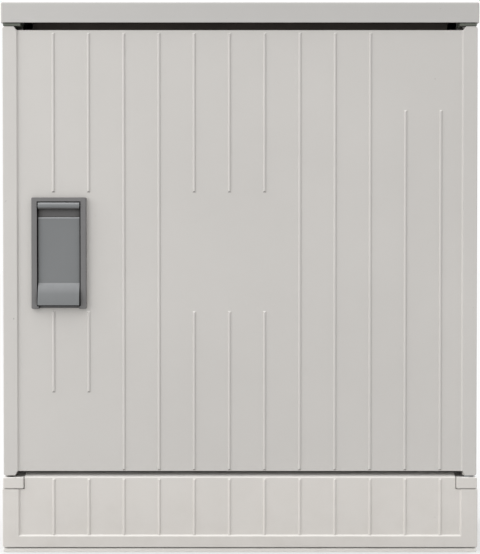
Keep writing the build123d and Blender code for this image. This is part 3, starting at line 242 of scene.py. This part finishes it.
def moulded(name, steps, grain=0.9 * MM, depth=0.03 * MM, rough=(0.42, 0.56), clouds=0.03, top_highlight=None,
            gap_shade_and_grime=None):
    """Moulded plastic: fine skin, cloudy tone, paler edges, painted highlight on upper faces, and dirt with
    painted shade in gaps.
    """
    finish = Finish(name, {"Specular IOR Level": 0.4})
    tone = finish.clouds(size=70 * MM, detail=4.0)
    colour = finish.tint(tone, linear(steps, gain=1 - clouds), linear(steps, gain=1 + clouds))
    # Dirt and painted shade in gaps and corners, darker where less of the sky is seen
    if gap_shade_and_grime:
        gaps = finish.crevices(reach=12 * MM, open_share=0.9, shut_share=0.35)
        shaded_and_grimy_gaps = finish.product(gaps, finish.clouds(size=5 * MM, detail=4.0, low=0.7))
        colour = finish.tint(shaded_and_grimy_gaps, colour, linear(gap_shade_and_grime))
    # Painted highlight on upward faces
    if top_highlight:
        painted_top_highlight = finish.product(finish.facing(UP), finish.clouds(size=12 * MM, detail=4.0, low=0.85))
        colour = finish.tint(painted_top_highlight, colour, linear(top_highlight))
    wear = finish.patches(size=9 * MM, start=0.45, full=0.7, share=0.35)
    rubbed = finish.product(finish.edges(radius=0.8 * MM), wear)
    finish.set("Base Color", finish.tint(rubbed, colour, linear(steps, gain=1.3)))
    smooth, dull = rough
    finish.set("Roughness", finish.clouds(size=35 * MM, detail=5.0, low=smooth, high=dull))
    skin = finish.noise(size=grain, detail=2.0)
    finish.set("Normal", finish.bump(skin, depth, finish.soft_edges(radius=0.4 * MM)))
    return finish


def polyester(name, steps, top_highlight_share=0.0, underside_shade_front=None):
    """Pale moulded polyester: cloudy tone, specks, dirt splashes low down, dirt with painted shade in gaps,
    and rubbed edges.

    A share of painted highlight in white can go on upper faces. Painted shade lies on the undersides of
    ledges near the front whose Y is given.
    """
    finish = Finish(name, {"Specular IOR Level": 0.35})
    tone = finish.clouds(size=220 * MM, detail=5.0)
    colour = finish.tint(tone, linear(steps, gain=0.97), linear(steps, gain=1.02))
    fleck = finish.patches(size=1.6 * MM, start=0.55, full=0.75, share=0.05, detail=1.0)
    colour = finish.tint(fleck, colour, linear(CABINET_DUST))
    low_down = finish.band(finish.along("Z"), DUST_HEIGHT, 0.0)
    splashes = finish.patches(size=30 * MM, start=0.42, full=0.7, share=0.12, detail=6.0)
    colour = finish.tint(finish.product(low_down, splashes), colour, linear(CABINET_DUST))
    speck = finish.patches(size=9 * MM, start=0.785, full=0.81, share=0.55, detail=2.0)
    colour = finish.tint(speck, colour, linear(CABINET_MARK))
    # Dirt and painted shade in gaps and corners, darker where less of the sky is seen
    gaps = finish.crevices(reach=14 * MM, open_share=0.5, shut_share=0.12)
    shaded_and_grimy_gaps = finish.product(gaps, finish.clouds(size=8 * MM, low=0.8))
    colour = finish.tint(shaded_and_grimy_gaps, colour, linear(CABINET_SHADE_AND_GRIME))
    # Painted highlight in white on upward faces
    if top_highlight_share:
        colour = finish.tint(finish.facing(UP, top_highlight_share), colour, linear(TOP_HIGHLIGHT_WHITE))
    # Painted shade on downward faces near the front, such as the lower ends of the ribs
    if underside_shade_front is not None:
        full_at, none_at = [underside_shade_front + depth for depth in UNDERSIDE_SHADE_DEPTHS]
        outside = finish.band(finish.along("Y"), none_at, full_at)
        painted_underside_shade = finish.product(finish.facing(DOWN, UNDERSIDE_SHADE_SHARE), outside)
        colour = finish.tint(painted_underside_shade, colour, linear(CABINET_SHADE_AND_GRIME))
    wear = finish.patches(size=14 * MM, start=0.4, full=0.7, share=0.3)
    rubbed = finish.product(finish.edges(radius=1.0 * MM), wear)
    finish.set("Base Color", finish.tint(rubbed, colour, linear(steps, gain=1.15)))
    finish.set("Roughness", finish.clouds(size=60 * MM, detail=6.0, low=0.40, high=0.56))
    swell = finish.noise(size=90 * MM, detail=2.0)
    waves = finish.bump(swell, depth=0.5 * MM, normal=finish.soft_edges(radius=0.5 * MM))
    skin = finish.noise(size=1.1 * MM, detail=2.0)
    finish.set("Normal", finish.bump(skin, depth=0.03 * MM, normal=waves))
    return finish


def plated(name, steps, rough=(0.24, 0.42), stretch=(1, 1, 14)):
    """Plated sheet metal: fine drawn lines and cloudy spangle."""
    finish = Finish(name, {"Metallic": 1.0})
    spangle = finish.clouds(size=14 * MM, detail=4.0)
    finish.set("Base Color", finish.tint(spangle, linear(steps, gain=0.86), linear(steps, gain=1.06)))
    lines = finish.noise(size=0.7 * MM, stretch=stretch)
    finish.set("Roughness", finish.band(lines, NOISE_LOW, NOISE_HIGH, *rough))
    finish.set("Normal", finish.bump(lines, depth=0.01 * MM, normal=finish.soft_edges(radius=0.3 * MM)))
    return finish


def copper():
    """Bare copper bar, drawn along its length and browned in patches."""
    finish = Finish("copper", {"Metallic": 1.0})
    browned = finish.patches(size=45 * MM, start=0.42, full=0.72, share=0.8, detail=6.0)
    finish.set("Base Color", finish.tint(browned, linear(COPPER_RED), linear(COPPER_BROWN)))
    lines = finish.noise(size=0.8 * MM, stretch=(20, 1, 1))
    finish.set("Roughness", finish.band(lines, NOISE_LOW, NOISE_HIGH, to_low=0.26, to_high=0.46))
    finish.set("Normal", finish.bump(lines, depth=0.012 * MM, normal=finish.soft_edges(radius=0.6 * MM)))
    return finish


def seal_rubber():
    """Foam rubber: matt, with open pores."""
    finish = Finish("seal_rubber", {"Specular IOR Level": 0.25})
    pore_size = 0.9 * MM
    pores = finish.node("ShaderNodeTexVoronoi", {"Vector": finish.place, "Scale": 1 / pore_size})
    rise = finish.band(pores.outputs["Distance"], low=0.0, high=0.5)
    colour = finish.tint(rise, linear(RUBBER_BLACK, gain=0.5), linear(RUBBER_BLACK, gain=1.3))
    finish.set("Base Color", colour)
    finish.set("Roughness", finish.clouds(size=12 * MM, low=0.75, high=0.92))
    finish.set("Normal", finish.bump(rise, depth=0.12 * MM))
    return finish


def ceramic():
    """Glazed ceramic: a little cloudy under a clear coat."""
    finish = Finish("ceramic", {"Coat Weight": 0.6, "Coat Roughness": 0.08})
    tone = finish.clouds(size=18 * MM, detail=5.0)
    finish.set("Base Color", finish.tint(tone, linear(CERAMIC_WHITE, gain=0.94), linear(CERAMIC_WHITE)))
    finish.set("Roughness", finish.clouds(size=6 * MM, low=0.25, high=0.4))
    glaze = finish.noise(size=3 * MM)
    finish.set("Normal", finish.bump(glaze, depth=0.03 * MM, normal=finish.soft_edges(radius=0.5 * MM)))
    return finish


def finishes():
    """One finish for each material slot of the record."""
    return {
        "cabinet_polyester": polyester("cabinet_polyester", CABINET_GREY),
        # The base's upward faces get a painted highlight in white
        "base_polyester": moulded("base_polyester", BASE_GREY, clouds=0.02, top_highlight=TOP_HIGHLIGHT_WHITE),
        "handle_plastic": moulded("handle_plastic", HANDLE_GREY, grain=0.7 * MM, depth=0.04 * MM,
                                  gap_shade_and_grime=HANDLE_SHADE_AND_GRIME),
        "black_plastic": moulded("black_plastic", BLACK_GREY, clouds=0.1),
        "seal_rubber": seal_rubber(),
        "zinc_steel": plated("zinc_steel", ZINC_GREY),
        "bright_steel": plated("bright_steel", STEEL_GREY, rough=(0.16, 0.3)),
        "copper": copper(),
        "strip_plastic": moulded("strip_plastic", STRIP_GREY, clouds=0.06),
        "lid_plastic": moulded("lid_plastic", LID_GREY, depth=0.015 * MM, rough=(0.28, 0.4)),
        "insulator": moulded("insulator", INSULATOR_RED, depth=0.01 * MM, rough=(0.18, 0.3), clouds=0.1),
        "ceramic": ceramic(),
        "guide_plastic": moulded("guide_plastic", GUIDE_WHITE, depth=0.02 * MM),
        "pocket_plastic": moulded("pocket_plastic", POCKET_GREY, depth=0.01 * MM, rough=(0.3, 0.42)),
    }


def dress_nodes(finish_of):
    """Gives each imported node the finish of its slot."""
    for name, node in nodes.items():
        node.data.materials.clear()
        node.data.materials.append(finish_of[slot_of[name]].material)


def vary_pieces():
    """Gives the pieces that differ from the rest of their slot in tone, painted light or painted shade their
    own finish.
    """
    # The lower panel and its blocks get a paler grey as painted light, and a painted highlight on upward
    # faces
    panel = polyester("panel_polyester_lit", PANEL_LIT_GREY, top_highlight_share=0.8)
    bracket = moulded("bracket_plastic", BRACKET_GREY, clouds=0.08)
    door_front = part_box("door")[0].y
    own = {
        # The roof gets a darker grey as painted shade
        "roof": polyester("roof_polyester_shaded", ROOF_SHADED_GREY),
        # The door gets a painted highlight on its upward faces and painted shade under its ledges near the
        # front
        "door": polyester("door_polyester", CABINET_GREY, top_highlight_share=1.0, underside_shade_front=door_front),
        "lower_panel": panel,
        "lower_left_block": panel,
        "lower_right_block": panel,
        # The flap's upward faces get a painted highlight, and its gaps dirt and painted shade
        "handle_flap": moulded("flap_plastic", FLAP_GREY, grain=0.7 * MM, top_highlight=FLAP_TOP_HIGHLIGHT,
                               gap_shade_and_grime=HANDLE_SHADE_AND_GRIME),
        # The flap's pin gets dark steel as painted shade for the gap beside the bar
        "flap_pin": plated("pin_steel_shaded", SHADED_PIN_STEEL),
        "upper_left_bracket": bracket,
        "upper_right_bracket": bracket,
    }
    for name, finish in own.items():
        nodes[name].data.materials[0] = finish.material


def add_finish(data, finish):
    """Adds a finish to a mesh that has one already, and gives its number there."""
    data.materials.append(finish.material)
    return len(data.materials) - 1


def middle_height(box):
    """Height of the middle of a node's box."""
    low, high = box
    return (low.z + high.z) / 2


def shade_flap():
    """Gives the flap's neck and the underside of its bar painted shade, and the top edge of its plate a
    painted highlight.
    """
    data = nodes["handle_flap"].data
    neck = add_finish(data, moulded("neck_painted_shade", NECK_SHADE_GREY, gap_shade_and_grime=HANDLE_SHADE_AND_GRIME))
    edge_highlight = add_finish(data, moulded("edge_highlight_plastic", EDGE_HIGHLIGHT_GREY))
    axis_height = middle_height(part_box("flap_pin"))
    neck_start, neck_end = FLAP_NECK_DROPS
    edge_start, edge_end = FLAP_EDGE_DROPS
    for face in data.polygons:
        drop = axis_height - face.center.z
        # The flap's neck and the underside of its bar get painted shade
        if neck_start < drop < neck_end and face.normal.y < 0:
            face.material_index = neck
        # The upward faces along the top edge of the flap's plate get a painted highlight
        if edge_start < drop < edge_end and face.normal.z > 0 > face.normal.y:
            face.material_index = edge_highlight


def plate_fuse_ends(finish_of):
    """Gives the end plates and blades of the fuse links the finish of plated steel."""
    data = nodes["fuse_links"].data
    plate = add_finish(data, finish_of["zinc_steel"])
    middles = [middle_height(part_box(f"busbar_l{row}")) for row in FUSE_ROWS]
    for face in data.polygons:
        if min(abs(face.center.z - middle) for middle in middles) > FUSE_CERAMIC_HALF:
            face.material_index = plate


def seen_rays(tree):
    """1 for rays that show a thing to the camera, straight or by way of gloss or glass."""
    ray = tree.nodes.new("ShaderNodeLightPath")
    seen = ray.outputs["Is Camera Ray"]
    for kind in ("Is Glossy Ray", "Is Transmission Ray"):
        either = tree.nodes.new("ShaderNodeMath")
        either.operation = "MAXIMUM"
        tree.links.new(seen, either.inputs[0])
        tree.links.new(ray.outputs[kind], either.inputs[1])
        seen = either.outputs["Value"]
    return seen


def add_floor():
    """Plain floor, shown white, that keeps the shadow of the part."""
    mesh = bmesh.new()
    bmesh.ops.create_grid(mesh, x_segments=1, y_segments=1, size=FLOOR_REACH)
    data = bpy.data.meshes.new("floor")
    mesh.to_mesh(data)
    mesh.free()
    floor = bpy.data.objects.new("floor", data)
    floor.location.z = -FLOOR_GAP
    bpy.context.scene.collection.objects.link(floor)
    finish = Finish("floor_white", {"Roughness": 1.0, "Specular IOR Level": 0.0, "Emission Color": WHITE})
    greys = [(FLOOR_GREY * shade, FLOOR_GREY * shade, FLOOR_GREY * shade, 1) for shade in FLOOR_SHADES]
    finish.set("Base Color", finish.tint(finish.noise(FLOOR_CLOUD), *greys))
    finish.set("Emission Strength", finish.product(seen_rays(finish.tree), FLOOR_GLOW))
    data.materials.append(finish.material)


def add_light():
    """Wide soft lamp to the left in front, higher than the part."""
    lamp = bpy.data.lights.new("window", "AREA")
    lamp.shape = "SQUARE"
    lamp.size = KEY_SIZE
    lamp.energy = KEY_POWER
    window = bpy.data.objects.new("window", lamp)
    window.location = Vector((0, 0, AIM_HEIGHT)) + KEY_DIRECTION.normalized() * KEY_DISTANCE
    window.rotation_euler = (-KEY_DIRECTION).to_track_quat("-Z", "Y").to_euler()
    bpy.context.scene.collection.objects.link(window)


def add_sky():
    """Soft light from all round that follows the slope, in a sky that is seen as plain white."""
    world = bpy.data.worlds.new("sky")
    world.use_nodes = True
    bpy.context.scene.world = world
    tree = world.node_tree
    direction = tree.nodes.new("ShaderNodeTexCoord").outputs["Generated"]
    slope = tree.nodes.new("ShaderNodeVectorMath")
    slope.operation = "DOT_PRODUCT"
    slope.inputs[1].default_value = SKY_SLOPE
    tree.links.new(direction, slope.inputs[0])
    glow = tree.nodes.new("ShaderNodeMath")
    glow.operation = "ADD"
    glow.inputs[1].default_value = SKY_LEVEL
    tree.links.new(slope.outputs["Value"], glow.inputs[0])
    strength = tree.nodes.new("ShaderNodeMapRange")
    strength.inputs["To Max"].default_value = SKY_SEEN
    tree.links.new(glow.outputs["Value"], strength.inputs["To Min"])
    tree.links.new(seen_rays(tree), strength.inputs["Value"])
    background = tree.nodes["Background"]
    background.inputs["Color"].default_value = WHITE
    tree.links.new(strength.outputs["Result"], background.inputs["Strength"])


def add_camera():
    """Camera that takes in the front as the picture does."""
    data = bpy.data.cameras.new("camera")
    data.sensor_width = SENSOR
    data.lens = SENSOR * CAMERA_DISTANCE / (IMAGE_HEIGHT_PX * FRONT_METRES_PER_PX)
    camera = bpy.data.objects.new("camera", data)
    front = Vector((0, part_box("roof")[0].y, AIM_HEIGHT))
    back = Vector((0, -math.cos(CAMERA_TILT), math.sin(CAMERA_TILT)))
    camera.location = front + back * CAMERA_DISTANCE
    camera.rotation_euler = (-back).to_track_quat("-Z", "Y").to_euler()
    bpy.context.scene.collection.objects.link(camera)
    bpy.context.scene.camera = camera


bpy.context.scene.view_settings.view_transform = "Standard"
finish_of_slot = finishes()
dress_nodes(finish_of_slot)
vary_pieces()
shade_flap()
plate_fuse_ends(finish_of_slot)
add_floor()
add_light()
add_sky()
add_camera()
